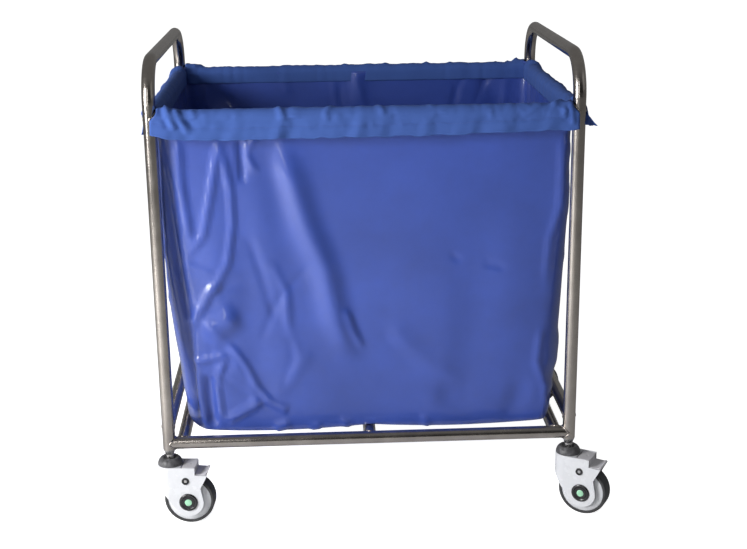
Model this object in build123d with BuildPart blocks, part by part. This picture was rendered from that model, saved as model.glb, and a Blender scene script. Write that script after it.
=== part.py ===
from build123d import *
import os

# A hospital linen trolley: two bent-tube end frames joined by rim and base bars, a hanging
# cloth bag turned over the rim, and four swivel casters with brake pedals.
# Millimetres. The origin is on the floor under the middle of the frame, +X runs along the
# long side, -Y is the front and +Z is up.

# ---- Frame tubes ----
TUBE = 25.0  # outside diameter of every frame tube
TUBE_WALL = 1.2
LEG_PITCH_X = 798.0  # leg axis to leg axis along the length
LEG_PITCH_Y = 587.0  # leg axis to leg axis across the depth
LEG_END = 155.0  # cut end of each leg above the floor
HANDLE_HEIGHT = 915.0  # axis of the handle bars
HANDLE_BEND = 75.0  # centreline radius of the handle bends
RIM_HEIGHT = 815.0  # axis of the bars that carry the bag
BASE_HEIGHT = 167.0  # axis of the base bars
END_RAIL_HEIGHT = 201.0  # axis of the low rail in each end frame
SIDE_BAR_INSET = 27.0  # base side bars stand this far inside the leg axes
WELD_GAP = 0.1  # a coped bar stops this far from the tube it meets

# ---- Bag ----
CLOTH = 2.0
BAG_FLOOR = 181.0  # underside of the bag, just above the base bars
BAG_BOTTOM_X = 724.0
BAG_BOTTOM_Y = 524.0
BAG_SEAM = 0.1  # gap between the panels of the bag
BAG_CLEARANCE = 1.0  # between cloth and the tubes
CUFF_DROP = 40.0  # the turned-over cuff hangs this far below the rim axis
CUFF_OVERHANG = 12.0  # the hanging flap laps past the edge of the leg

# ---- Caster, in its own frame: stem on the Z axis, wheel trailing along +X ----
WHEEL_RADIUS = 50.0
TRAIL = 37.0
TYRE_WIDTH = 30.0
TYRE_INNER_RADIUS = 43.5
TYRE_SHOULDER = 4.0
HUB_EDGE_WIDTH = 25.0
HUB_CROWN_WIDTH = 32.5  # across the domed faces, halfway out
HUB_FACE_WIDTH = 34.0
HUB_BOSS_RADIUS = 17.0
BEARING_RADIUS = 11.0
BEARING_WIDTH = 7.0
AXLE_RADIUS = 4.0
HUB_BORE_RADIUS = 6.0  # clears the axle between the two bearings
RUNNING = 0.05  # radial running clearance

FORK_HALF_WIDTH = 25.0
FORK_WALL = 3.8
FORK_TOP = 123.0
FORK_DECK = 12.0  # thickness of the deck that carries the swivel bearing
FORK_DECK_END = 24.0
FORK_SHOULDER_X = 52.0
FORK_SHOULDER_Z = 108.0
FORK_TIP = (76.0, 106.5)
FORK_WAIST_BACK = (62.0, 79.0)
FORK_WAIST_FRONT = (-11.0, 66.0)
FORK_NOSE_Z = 85.0
FORK_FOOT_RADIUS = 30.0
FORK_EDGE = 1.5  # rounding of the fork's top edge
FORK_BORE_RADIUS = 7.0  # clears the swivel stem

CAP_RADIUS = 18.5
CAP_EDGE = 1.4  # thickness at the cap's edge
CAP_CROWN = 3.2  # thickness at the cap's highest line
CAP_DISH = 2.0  # thickness of the flat round the plug
CAP_RING = (11.0, 12.6)  # radii of the raised ring
CAP_RING_RISE = 0.9
PLUG_RADIUS = 7.0
PLUG_SEAT = 1.2  # the plug starts this far from the fork
PLUG_EDGE = 2.4
PLUG_CROWN = 3.2
PLUG_DOME = (14.0 / 3, 3.0)  # the dome passes through this radius and height
PLUG_DIMPLE = 0.9

STEM_RADIUS = 6.0
STEM_TOP = 200.0
STEM_HEAD_RADIUS = 9.0
STEM_HEAD_HEIGHT = 3.0
NECK_RADIUS = 8.2
SWIVEL_BEARING_RADIUS = 16.0
SWIVEL_BEARING_HEIGHT = 10.0
COLLAR_RADIUS = 24.5
COLLAR_BAND = 2.2
COLLAR_SIDE = (22.4, 132.5)  # the domed side passes through here
COLLAR_TOP_RADIUS = 17.6
COLLAR_TOP = 137.5
COLLAR_MOUTH_RADIUS = 13.5
COLLAR_SEAT_RADIUS = 10.0
COLLAR_SEAT = 133.5
COLLAR_LIFT = 0.5  # the fixed collar clears the turning fork
INSERT_TOP = 195.0
INSERT_TAPER = 11.0  # height of the tapered foot below the tube

PIVOT = (33.0, 95.5)  # brake pedal pivot
PIVOT_RADIUS = 3.0
PIVOT_HEAD_RADIUS = 3.4
PIVOT_HEAD_THICKNESS = 1.5
PIVOT_RING_RADIUS = 7.6
PIVOT_RING_THICKNESS = 2.0
PIVOT_DRAFT = 15.0  # slope of the sides of the pivot rings and heads
PEDAL_HALF_WIDTH = 20.6
PEDAL_ARM_INNER = 16.8
PEDAL_EYE_RADIUS = 9.0
PEDAL_FRONT_X = 26.0
PEDAL_BACK_X = 53.0  # step between the release pad and the lock tread
PEDAL_TIP_X = 78.0
PEDAL_ROUNDING = 9.0  # corner radius of both pads, seen from above
PEDAL_PAD_TOP = 122.6
PEDAL_PAD_BOTTOM = 109.0
PEDAL_TREAD_TOP = 116.0
PEDAL_TREAD_BOTTOM = 103.5
PEDAL_SCOOP_RADIUS = 26.0
PEDAL_SCOOP_CENTRE = (62.0, 134.0)
PEDAL_TREAD_START = 43.0
PEDAL_TIP_SLANT = 4.0
PEDAL_EDGE = 0.8
PEDAL_DIMPLE_X = 41.0
PEDAL_DIMPLE_RADIUS = 2.2
PEDAL_DIMPLE_DEPTH = 1.2
SHOE_BOTTOM = 101.5
SHOE_X = (47.0, 55.0, 58.0)  # front, end of the flat and back edge
SHOE_HALF_WIDTH = 12.0

leg_x = LEG_PITCH_X / 2
leg_y = LEG_PITCH_Y / 2
tube_radius = TUBE / 2
bore_radius = tube_radius - TUBE_WALL
cope_radius = tube_radius + WELD_GAP

os.makedirs("parts", exist_ok=True)


def save(builder, name):
    """Label one finished piece and write it as a STEP file of the same name."""
    builder.part.label = name
    export_step(builder.part, f"parts/{name}.step")


# ---- End frames: leg, handle and leg bent from one tube ----
for side, x in (("left", -leg_x), ("right", leg_x)):
    bend_start = HANDLE_HEIGHT - HANDLE_BEND
    flat_end = leg_y - HANDLE_BEND
    with BuildPart() as end_frame:
        with BuildLine() as tube_path:
            front_leg = Line((x, -leg_y, LEG_END), (x, -leg_y, bend_start))
            front_bend = TangentArc(front_leg @ 1, (x, -flat_end, HANDLE_HEIGHT), tangent=front_leg % 1)
            handle = Line(front_bend @ 1, (x, flat_end, HANDLE_HEIGHT))
            back_bend = TangentArc(handle @ 1, (x, leg_y, bend_start), tangent=handle % 1)
            Line(back_bend @ 1, (x, leg_y, LEG_END))
        with BuildSketch(Plane(tube_path.line @ 0, z_dir=tube_path.line % 0)):
            Circle(tube_radius)
        sweep(path=tube_path.line)
        with BuildSketch(Plane(tube_path.line @ 0, z_dir=tube_path.line % 0)):
            Circle(bore_radius)
        sweep(path=tube_path.line, mode=Mode.SUBTRACT)
    save(end_frame, f"end_frame_{side}")


# ---- Bars, each a straight tube with its ends coped to the tubes that it meets ----
def bar(name, start, end, *neighbours):
    """Make one bar; its ends are coped to tubes that run along the given directions."""
    run = Vector(*end) - Vector(*start)
    with BuildPart() as tube:
        with BuildSketch(Plane(start, z_dir=run)):
            Circle(tube_radius)
            Circle(bore_radius, mode=Mode.SUBTRACT)
        extrude(amount=run.length)
        for tip in (start, end):
            for direction in neighbours:
                with BuildSketch(Plane(tip, z_dir=direction)):
                    Circle(cope_radius)
                extrude(amount=TUBE, both=True, mode=Mode.SUBTRACT)
    save(tube, name)


upright = (0, 0, 1)
lengthwise = (1, 0, 0)
for name, y in (("front", -leg_y), ("back", leg_y)):
    bar(f"rim_{name}_bar", (-leg_x, y, RIM_HEIGHT), (leg_x, y, RIM_HEIGHT), upright)
    bar(f"base_{name}_rail", (-leg_x, y, BASE_HEIGHT), (leg_x, y, BASE_HEIGHT), upright)

for name, x in (("left", -leg_x), ("right", leg_x)):
    bar(f"rim_{name}_bar", (x, -leg_y, RIM_HEIGHT), (x, leg_y, RIM_HEIGHT), upright, lengthwise)
    bar(f"end_rail_{name}", (x, -leg_y, END_RAIL_HEIGHT), (x, leg_y, END_RAIL_HEIGHT), upright)

side_bar_x = leg_x - SIDE_BAR_INSET
for name, x in (("left", -side_bar_x), ("centre", 0.0), ("right", side_bar_x)):
    bar(f"base_{name}_bar", (x, -leg_y, BASE_HEIGHT), (x, leg_y, BASE_HEIGHT), lengthwise)


# ---- Bag: four tapered walls and a bottom that hang inside the rim, open at the top ----
bag_top_x = LEG_PITCH_X - TUBE - 2 * BAG_CLEARANCE
bag_top_y = LEG_PITCH_Y - TUBE - 2 * BAG_CLEARANCE
wall_levels = (
    (BAG_FLOOR + CLOTH + BAG_SEAM, BAG_BOTTOM_X / 2, BAG_BOTTOM_Y / 2),
    (RIM_HEIGHT, bag_top_x / 2, bag_top_y / 2),
)


def wall_outline(half_run, half_depth, turn):
    """One wall's mitred section at one height, turned about the bag's middle."""
    inner = half_depth - CLOTH
    with Locations(Location((0, 0, 0), (0, 0, turn))):
        Polygon(
            (BAG_SEAM - half_run, -half_depth),
            (half_run - BAG_SEAM, -half_depth),
            (half_run - CLOTH - BAG_SEAM, -inner),
            (CLOTH + BAG_SEAM - half_run, -inner),
            align=None,
        )


with BuildPart() as bag_body:
    with BuildSketch(Plane.XY.offset(BAG_FLOOR)):
        Rectangle(BAG_BOTTOM_X, BAG_BOTTOM_Y)
    extrude(amount=CLOTH)
    for turn in (0, 90, 180, 270):
        for height, half_x, half_y in wall_levels:
            half_run, half_depth = (half_x, half_y) if turn % 180 == 0 else (half_y, half_x)
            with BuildSketch(Plane.XY.offset(height)):
                wall_outline(half_run, half_depth, turn)
        loft()
save(bag_body, "bag_body")

# The cuff goes over each rim bar and hangs down outside it. It is slit at the four legs.
cuff_inner = tube_radius + BAG_CLEARANCE
cuff_outer = cuff_inner + CLOTH
top_run_x = leg_x - cuff_outer - BAG_CLEARANCE
top_run_y = leg_y - cuff_outer - BAG_CLEARANCE
cuff_sides = (
    (Plane((0, -leg_y, RIM_HEIGHT), x_dir=(0, -1, 0), z_dir=(-1, 0, 0)), top_run_x),
    (Plane((0, leg_y, RIM_HEIGHT), x_dir=(0, 1, 0), z_dir=(1, 0, 0)), top_run_x),
    (Plane((-leg_x, 0, RIM_HEIGHT), x_dir=(-1, 0, 0), z_dir=(0, 1, 0)), top_run_y),
    (Plane((leg_x, 0, RIM_HEIGHT), x_dir=(1, 0, 0), z_dir=(0, -1, 0)), top_run_y),
)
with BuildPart() as bag_cuffs:
    for section, half_run in cuff_sides:
        with BuildSketch(section):
            Circle(cuff_outer)
            Circle(cuff_inner, mode=Mode.SUBTRACT)
            Rectangle(2 * TUBE, TUBE, align=(Align.CENTER, Align.MAX), mode=Mode.SUBTRACT)
        extrude(amount=half_run, both=True)
        with BuildSketch(section):
            with Locations((cuff_inner, 0)):
                Rectangle(CLOTH, CUFF_DROP, align=(Align.MIN, Align.MAX))
        extrude(amount=half_run + CUFF_OVERHANG, both=True)
save(bag_cuffs, "bag_cuffs")


# ---- Casters ----
# Each caster's place, and how far its wheel has swung round from trailing along +X.
CASTERS = {
    "front_left": ((-leg_x, -leg_y), -5.0),
    "front_right": ((leg_x, -leg_y), -30.0),
    "back_left": ((-leg_x, leg_y), -12.0),
    "back_right": ((leg_x, leg_y), -20.0),
}
places = {name: Location((x, y, 0), (0, 0, turn)) for name, ((x, y), turn) in CASTERS.items()}
leg_axes = [(x, y) for (x, y), turn in CASTERS.values()]

deck_underside = FORK_TOP - FORK_DECK
collar_base = FORK_TOP + COLLAR_LIFT
fork_inner = FORK_HALF_WIDTH - FORK_WALL
bearing_bottom = FORK_TOP - SWIVEL_BEARING_HEIGHT

# Fixed pieces of each leg: the tapered plug in the tube, the stem that it grips and the collar.
insert_foot = LEG_END - INSERT_TAPER
with BuildPart() as leg_inserts:
    for x, y in leg_axes:
        with BuildSketch(Plane.XY.offset(LEG_END).move(Location((x, y, 0)))):
            Circle(bore_radius - RUNNING)
        extrude(amount=INSERT_TOP - LEG_END)
        with BuildSketch(Plane.XY.offset(insert_foot).move(Location((x, y, 0)))):
            Circle(NECK_RADIUS)
        with BuildSketch(Plane.XY.offset(LEG_END).move(Location((x, y, 0)))):
            Circle(tube_radius - RUNNING)
        loft()
        with BuildSketch(Plane.XY.offset(insert_foot).move(Location((x, y, 0)))):
            Circle(STEM_RADIUS + RUNNING)
        extrude(amount=INSERT_TOP - insert_foot, mode=Mode.SUBTRACT)
save(leg_inserts, "leg_inserts")

with BuildPart() as caster_stems:
    for x, y in leg_axes:
        foot = deck_underside - COLLAR_LIFT
        with BuildSketch(Plane.XY.offset(foot).move(Location((x, y, 0)))):
            Circle(STEM_RADIUS)
        extrude(amount=STEM_TOP - foot)
        with BuildSketch(Plane.XY.offset(foot).move(Location((x, y, 0)))):
            Circle(STEM_HEAD_RADIUS)
        extrude(amount=-STEM_HEAD_HEIGHT)
        with BuildSketch(Plane.XY.offset(COLLAR_SEAT).move(Location((x, y, 0)))):
            Circle(NECK_RADIUS)
        extrude(amount=insert_foot - COLLAR_SEAT)
save(caster_stems, "caster_stems")

# The collar is a rubbery dome with a thin brim and a dished mouth round the neck.
with BuildPart() as stem_collars:
    for x, y in leg_axes:
        with BuildSketch(Plane((x, y, 0), x_dir=(1, 0, 0), z_dir=(0, -1, 0))):
            with BuildLine():
                brim = Polyline(
                    (STEM_RADIUS + RUNNING, collar_base),
                    (COLLAR_RADIUS, collar_base),
                    (COLLAR_RADIUS, collar_base + COLLAR_BAND),
                )
                side = ThreePointArc(brim @ 1, COLLAR_SIDE, (COLLAR_TOP_RADIUS, COLLAR_TOP))
                Polyline(
                    side @ 1,
                    (COLLAR_MOUTH_RADIUS, COLLAR_TOP),
                    (COLLAR_SEAT_RADIUS, COLLAR_SEAT),
                    (STEM_RADIUS + RUNNING, COLLAR_SEAT),
                    brim @ 0,
                )
            make_face()
        revolve(axis=Axis((x, y, 0), (0, 0, 1)))
save(stem_collars, "stem_collars")


def level_plane(place, height, along=0.0):
    """A level plane at this height, its origin this far behind the caster's stem."""
    return Plane(place * Plane((along, 0, height)).location)


def side_plane(place, x=0.0, z=0.0, offset=0.0):
    """A plane square to the axle through one point of the caster's side view."""
    return Plane(place * Plane((x, -offset, z), x_dir=(1, 0, 0), z_dir=(0, -1, 0)).location)


def axle_plane(place, offset):
    """A side plane centred on the axle, this far in front of the wheel's middle."""
    return side_plane(place, TRAIL, WHEEL_RADIUS, offset)


def pivot_plane(place, offset):
    """A side plane centred on the pedal's pivot, this far in front of the wheel's middle."""
    return side_plane(place, *PIVOT, offset)


def axle_axis(place):
    """The axle of one caster's wheel as an axis."""
    plane = axle_plane(place, 0)
    return Axis(plane.origin, plane.z_dir)


def spin_section(place):
    """The half-plane that turned wheel parts are drawn on: x outwards, y along the axle."""
    cross_section = Plane((TRAIL, 0, WHEEL_RADIUS), x_dir=(0, 0, 1), z_dir=(1, 0, 0))
    return Plane(place * cross_section.location)


for name, place in places.items():
    # Fork: a rounded hood over the wheel with a deck on top and two side walls to the axle.
    with BuildPart() as fork:
        with BuildSketch(level_plane(place, 0)):
            Circle(FORK_HALF_WIDTH)
            Rectangle(FORK_TIP[0], 2 * FORK_HALF_WIDTH, align=(Align.MIN, Align.CENTER))
        extrude(amount=FORK_TOP)
        with BuildSketch(side_plane(place)):
            with BuildLine():
                Line(FORK_WAIST_FRONT, FORK_WAIST_BACK)
                CenterArc((TRAIL, WHEEL_RADIUS), FORK_FOOT_RADIUS, 0, 360)
            make_hull()
            Polygon(
                (-FORK_HALF_WIDTH, FORK_TOP),
                (-FORK_HALF_WIDTH, FORK_NOSE_Z),
                FORK_WAIST_FRONT,
                FORK_WAIST_BACK,
                FORK_TIP,
                (FORK_SHOULDER_X, FORK_SHOULDER_Z),
                (FORK_SHOULDER_X, FORK_TOP),
                align=None,
            )
        extrude(amount=2 * FORK_HALF_WIDTH, both=True, mode=Mode.INTERSECT)
        with BuildSketch(level_plane(place, 0)):
            Circle(fork_inner)
            Rectangle(2 * FORK_TIP[0], 2 * fork_inner, align=(Align.MIN, Align.CENTER))
        extrude(amount=deck_underside, mode=Mode.SUBTRACT)
        with BuildSketch(level_plane(place, deck_underside, FORK_DECK_END)):
            Rectangle(2 * FORK_TIP[0], 2 * fork_inner, align=(Align.MIN, Align.CENTER))
        extrude(amount=FORK_DECK, mode=Mode.SUBTRACT)
        with BuildSketch(level_plane(place, bearing_bottom)):
            Circle(SWIVEL_BEARING_RADIUS)
        extrude(amount=SWIVEL_BEARING_HEIGHT, mode=Mode.SUBTRACT)
        with BuildSketch(level_plane(place, deck_underside)):
            Circle(FORK_BORE_RADIUS)
        extrude(amount=FORK_DECK, mode=Mode.SUBTRACT)
        with BuildSketch(axle_plane(place, 0)):
            Circle(AXLE_RADIUS)
        extrude(amount=FORK_HALF_WIDTH, both=True, mode=Mode.SUBTRACT)
        with BuildSketch(pivot_plane(place, 0)):
            Circle(PIVOT_RADIUS)
        extrude(amount=FORK_HALF_WIDTH, both=True, mode=Mode.SUBTRACT)
        fillet(fork.faces().sort_by(Axis.Z)[-1].outer_wire().edges(), FORK_EDGE)
    save(fork, f"fork_{name}")

    with BuildPart() as swivel_bearing:
        with BuildSketch(level_plane(place, bearing_bottom)):
            Circle(SWIVEL_BEARING_RADIUS)
            Circle(STEM_RADIUS + RUNNING, mode=Mode.SUBTRACT)
        extrude(amount=SWIVEL_BEARING_HEIGHT)
    save(swivel_bearing, f"swivel_bearing_{name}")

    with BuildPart() as axle:
        with BuildSketch(axle_plane(place, 0)):
            Circle(AXLE_RADIUS)
        extrude(amount=FORK_HALF_WIDTH, both=True)
    save(axle, f"axle_{name}")

    # Black trim: a domed cap over each end of the axle and a ring round each pedal pivot.
    with BuildPart() as side_caps:
        for end in (-1, 1):
            with BuildSketch(spin_section(place)):
                with BuildLine():
                    face = end * FORK_HALF_WIDTH
                    ring_inner, ring_outer = CAP_RING
                    ring_top = face + end * (CAP_DISH + CAP_RING_RISE)
                    rim = Polyline((0, face), (CAP_RADIUS, face), (CAP_RADIUS, face + end * CAP_EDGE))
                    crown = ThreePointArc(
                        rim @ 1,
                        ((CAP_RADIUS + ring_outer) / 2, face + end * CAP_CROWN),
                        (ring_outer, face + end * CAP_DISH),
                    )
                    Polyline(
                        crown @ 1,
                        (ring_outer, ring_top),
                        (ring_inner, ring_top),
                        (ring_inner, face + end * CAP_DISH),
                        (PLUG_RADIUS, face + end * CAP_DISH),
                        (PLUG_RADIUS, face + end * PLUG_SEAT),
                        (0, face + end * PLUG_SEAT),
                        (0, face),
                    )
                make_face()
            revolve(axis=axle_axis(place))
            with BuildSketch(pivot_plane(place, end * FORK_HALF_WIDTH)):
                Circle(PIVOT_RING_RADIUS)
                Circle(PIVOT_HEAD_RADIUS + RUNNING, mode=Mode.SUBTRACT)
            extrude(amount=end * PIVOT_RING_THICKNESS, taper=PIVOT_DRAFT)
    save(side_caps, f"side_caps_{name}")

    with BuildPart() as axle_plugs:
        for end in (-1, 1):
            with BuildSketch(spin_section(place)):
                with BuildLine():
                    face = end * FORK_HALF_WIDTH
                    seat = Polyline(
                        (0, face + end * PLUG_SEAT),
                        (PLUG_RADIUS, face + end * PLUG_SEAT),
                        (PLUG_RADIUS, face + end * PLUG_EDGE),
                    )
                    dome = ThreePointArc(
                        seat @ 1,
                        (PLUG_DOME[0], face + end * PLUG_DOME[1]),
                        (PLUG_DIMPLE, face + end * PLUG_CROWN),
                    )
                    Polyline(dome @ 1, (0, face + end * PLUG_EDGE), seat @ 0)
                make_face()
            revolve(axis=axle_axis(place))
    save(axle_plugs, f"axle_plugs_{name}")

    # Wheel: a domed hub on two ball bearings, with a moulded tyre.
    hub_seat = HUB_FACE_WIDTH / 2 - BEARING_WIDTH
    crown_radius = (HUB_BOSS_RADIUS + TYRE_INNER_RADIUS) / 2
    with BuildPart() as wheel_hub:
        with BuildSketch(spin_section(place)):
            with BuildLine():
                core = Polyline(
                    (HUB_BOSS_RADIUS, HUB_FACE_WIDTH / 2),
                    (BEARING_RADIUS, HUB_FACE_WIDTH / 2),
                    (BEARING_RADIUS, hub_seat),
                    (HUB_BORE_RADIUS, hub_seat),
                    (HUB_BORE_RADIUS, -hub_seat),
                    (BEARING_RADIUS, -hub_seat),
                    (BEARING_RADIUS, -HUB_FACE_WIDTH / 2),
                    (HUB_BOSS_RADIUS, -HUB_FACE_WIDTH / 2),
                )
                near = ThreePointArc(
                    core @ 1,
                    (crown_radius, -HUB_CROWN_WIDTH / 2),
                    (TYRE_INNER_RADIUS, -HUB_EDGE_WIDTH / 2),
                )
                edge = Line(near @ 1, (TYRE_INNER_RADIUS, HUB_EDGE_WIDTH / 2))
                ThreePointArc(edge @ 1, (crown_radius, HUB_CROWN_WIDTH / 2), core @ 0)
            make_face()
        revolve(axis=axle_axis(place))
    save(wheel_hub, f"wheel_hub_{name}")

    with BuildPart() as wheel_bearings:
        for end in (-1, 1):
            with BuildSketch(axle_plane(place, end * hub_seat)):
                Circle(BEARING_RADIUS)
                Circle(AXLE_RADIUS + RUNNING, mode=Mode.SUBTRACT)
            extrude(amount=end * BEARING_WIDTH)
    save(wheel_bearings, f"wheel_bearings_{name}")

    with BuildPart() as tyre:
        with BuildSketch(spin_section(place)) as tyre_section:
            with Locations(((TYRE_INNER_RADIUS + WHEEL_RADIUS) / 2, 0)):
                Rectangle(WHEEL_RADIUS - TYRE_INNER_RADIUS, TYRE_WIDTH)
            fillet(tyre_section.vertices().group_by(Axis.X)[-1], TYRE_SHOULDER)
        revolve(axis=axle_axis(place))
    save(tyre, f"tyre_{name}")

    # Brake pedal: a level release pad and a scooped lock tread, on two arms beside the tyre.
    with BuildPart() as brake_pedal:
        with BuildSketch(level_plane(place, PEDAL_TREAD_BOTTOM, PEDAL_TREAD_START)) as tread:
            Rectangle(
                PEDAL_TIP_X - PEDAL_TREAD_START,
                2 * PEDAL_HALF_WIDTH,
                align=(Align.MIN, Align.CENTER),
            )
            fillet(tread.vertices().group_by(Axis.X)[-1], PEDAL_ROUNDING)
        extrude(amount=PEDAL_TREAD_TOP - PEDAL_TREAD_BOTTOM)
        with BuildSketch(side_plane(place)):
            with Locations(PEDAL_SCOOP_CENTRE):
                Circle(PEDAL_SCOOP_RADIUS)
            Polygon(
                (PEDAL_TIP_X, PEDAL_TREAD_TOP),
                (PEDAL_TIP_X, PEDAL_TREAD_BOTTOM),
                (PEDAL_TIP_X - PEDAL_TIP_SLANT, PEDAL_TREAD_BOTTOM),
                align=None,
            )
        extrude(amount=FORK_HALF_WIDTH, both=True, mode=Mode.SUBTRACT)
        with BuildSketch(level_plane(place, PEDAL_PAD_BOTTOM, PEDAL_FRONT_X)) as pad:
            Rectangle(
                PEDAL_BACK_X - PEDAL_FRONT_X,
                2 * PEDAL_HALF_WIDTH,
                align=(Align.MIN, Align.CENTER),
            )
            fillet(pad.vertices().group_by(Axis.X)[-1], PEDAL_ROUNDING)
        extrude(amount=PEDAL_PAD_TOP - PEDAL_PAD_BOTTOM)
        fillet(brake_pedal.faces().sort_by(Axis.Z)[-1].outer_wire().edges(), PEDAL_EDGE)
        with BuildSketch(level_plane(place, PEDAL_PAD_TOP, PEDAL_DIMPLE_X)):
            Circle(PEDAL_DIMPLE_RADIUS)
        extrude(amount=-PEDAL_DIMPLE_DEPTH, mode=Mode.SUBTRACT)
        with BuildSketch(side_plane(place)):
            Polygon(
                (SHOE_X[0], SHOE_BOTTOM),
                (SHOE_X[1], SHOE_BOTTOM),
                (SHOE_X[2], PEDAL_TREAD_BOTTOM),
                (SHOE_X[0], PEDAL_TREAD_BOTTOM),
                align=None,
            )
        extrude(amount=SHOE_HALF_WIDTH, both=True)
        for arm in (-1, 1):
            with BuildSketch(side_plane(place, offset=arm * PEDAL_ARM_INNER)):
                with BuildLine():
                    CenterArc(PIVOT, PEDAL_EYE_RADIUS, 0, 360)
                    Line((PEDAL_FRONT_X, PEDAL_PAD_BOTTOM), (PEDAL_BACK_X, PEDAL_PAD_BOTTOM))
                make_hull()
            extrude(amount=arm * (PEDAL_HALF_WIDTH - PEDAL_ARM_INNER))
        with BuildSketch(pivot_plane(place, 0)):
            Circle(PIVOT_RADIUS + RUNNING)
        extrude(amount=FORK_HALF_WIDTH, both=True, mode=Mode.SUBTRACT)
    save(brake_pedal, f"brake_pedal_{name}")

    with BuildPart() as pedal_pivots:
        for end in (-1, 1):
            with BuildSketch(pivot_plane(place, end * (PEDAL_ARM_INNER + RUNNING))):
                Circle(PIVOT_RADIUS)
            extrude(amount=end * (FORK_HALF_WIDTH - PEDAL_ARM_INNER))
            with BuildSketch(pivot_plane(place, end * FORK_HALF_WIDTH)):
                Circle(PIVOT_HEAD_RADIUS)
            extrude(amount=end * PIVOT_HEAD_THICKNESS, taper=PIVOT_DRAFT)
    save(pedal_pivots, f"pedal_pivots_{name}")
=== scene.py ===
import math
import random

import bpy
import numpy as np
from bpy.props import FloatProperty, FloatVectorProperty, IntProperty, PointerProperty
from mathutils import Matrix, Vector


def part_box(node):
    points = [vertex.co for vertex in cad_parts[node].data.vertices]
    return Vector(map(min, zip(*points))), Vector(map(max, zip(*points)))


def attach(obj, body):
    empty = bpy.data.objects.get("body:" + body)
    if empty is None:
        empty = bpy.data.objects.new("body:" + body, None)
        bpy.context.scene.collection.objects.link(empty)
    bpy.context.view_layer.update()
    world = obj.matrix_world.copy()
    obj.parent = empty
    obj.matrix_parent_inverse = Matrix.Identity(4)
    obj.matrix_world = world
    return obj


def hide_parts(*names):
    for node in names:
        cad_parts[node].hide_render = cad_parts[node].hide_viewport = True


bl_info = {
    "name": "Linen Trolley",
    "version": (1, 0, 0),
    "blender": (4, 5, 0),
    "location": "3D View > Sidebar > Linen Trolley",
    "description": "Dresses the frame of a hospital linen trolley with its cloth bag and finishes",
    "category": "Object",
}

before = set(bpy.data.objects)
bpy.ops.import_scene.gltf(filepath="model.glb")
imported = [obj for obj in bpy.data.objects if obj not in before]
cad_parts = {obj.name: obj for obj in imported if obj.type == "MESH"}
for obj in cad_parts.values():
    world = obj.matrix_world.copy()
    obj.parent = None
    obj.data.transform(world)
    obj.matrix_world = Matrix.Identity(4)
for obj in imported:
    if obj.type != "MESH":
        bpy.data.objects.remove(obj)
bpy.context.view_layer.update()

CORNERS = ("front_left", "front_right", "back_left", "back_right")
SEED = 11
WHITE = (1.0, 1.0, 1.0, 1.0)
WEAVE_PITCH = 0.0011  # from thread to thread of the cloth
BEAD_STEPS, BEAD_SIDES = 72, 8
BOTTOM_INSET_X, BOTTOM_INSET_Y = 0.0235, 0.018  # from the bag's top to its bottom, on each side
BELLY_X, BELLY_Y = 0.017, 0.003  # how far the hanging walls swell
BAR_HALF_WIDTH = 0.01  # of the cloth that lies on a base bar
BROAD_FOLD = 0.02  # folds this wide are soft and shape the cloth before it settles
CUFF_STEP, CUFF_LINES = 0.004, 34
CUFF_CLEARANCE = 0.0022  # from the bar to the middle of the cloth
CUFF_END_GAP = 0.001  # from the leg to the end of the cuff above the bar
LEG_LAP = 0.0125  # how far the hanging flap laps past the end of its bar
HEM_WIDTH = 0.022  # from the edge to the stitches
CREASES_PER_METRE = 110  # of half the cuff's length
STITCH_RADIUS, STITCH_RISE = 0.00042, 0.0008
STITCH_SHARE = 0.72  # of the pitch that a stitch covers


# ---------------------------------------------------------------- settings


def colour_property(name, description, default):
    """A colour that the sidebar shows as a swatch."""
    return FloatVectorProperty(
        name=name, description=description, subtype="COLOR", size=3, min=0.0, max=1.0, default=default
    )


def length_property(name, description, default, low=0.0, high=1.0):
    """A length in metres that the sidebar shows in the scene's units."""
    return FloatProperty(
        name=name, description=description, unit="LENGTH", min=low, max=high, default=default, precision=4
    )


def share_property(name, description, default, high=1.0):
    """A share from 0 that the sidebar shows as a slider."""
    return FloatProperty(
        name=name, description=description, subtype="FACTOR", min=0.0, max=high, default=default
    )


def amount_property(name, description, default, low=0.0):
    """A plain number with a lowest value."""
    return FloatProperty(name=name, description=description, min=low, default=default)


def angle_property(name, description, degrees):
    """An angle that the sidebar shows in degrees."""
    return FloatProperty(name=name, description=description, subtype="ANGLE", default=math.radians(degrees))


class TrolleyStageSettings(bpy.types.PropertyGroup):
    """Floor, lights and camera."""

    floor_colour: colour_property("Floor", "Colour of the studio floor", (0.88, 0.88, 0.87))
    floor_glow: amount_property("Floor glow", "How much brighter the floor looks than it lights", 0.92)
    sky_strength: amount_property("Room light", "Strength of the even light from all round", 0.2)
    key_power: amount_property("Key light", "Power of the large soft light at the front left", 80.0)
    fill_power: amount_property("Fill light", "Power of the soft light at the right", 3.0)
    strip_power: amount_property("Strip light", "Power of the tall light that the tubes reflect", 14.0)
    lens: amount_property("Lens", "Focal length in millimetres", 63.2, low=20.0)
    camera_pitch: angle_property("Camera tilt", "How far the camera looks down", 16.6)
    camera_yaw: angle_property("Camera turn", "How far the camera looks to the right", 2.36)
    camera_roll: angle_property("Camera roll", "How far the camera leans", -0.71)
    camera_place: FloatVectorProperty(
        name="Camera place", description="Where the camera stands", subtype="TRANSLATION", size=3,
        default=(-0.0888, -2.7077, 1.2255),
    )


class TrolleyFrameSettings(bpy.types.PropertyGroup):
    """Finish of the steel tubes and their welds."""

    steel_colour: colour_property("Steel", "Colour of the brushed stainless tube", (0.42, 0.385, 0.355))
    steel_roughness: share_property("Steel roughness", "How dull the tube is", 0.2)
    bead_radius: length_property("Weld bead", "Radius of the bead round each joint", 0.0017, 0.0005, 0.005)


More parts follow.
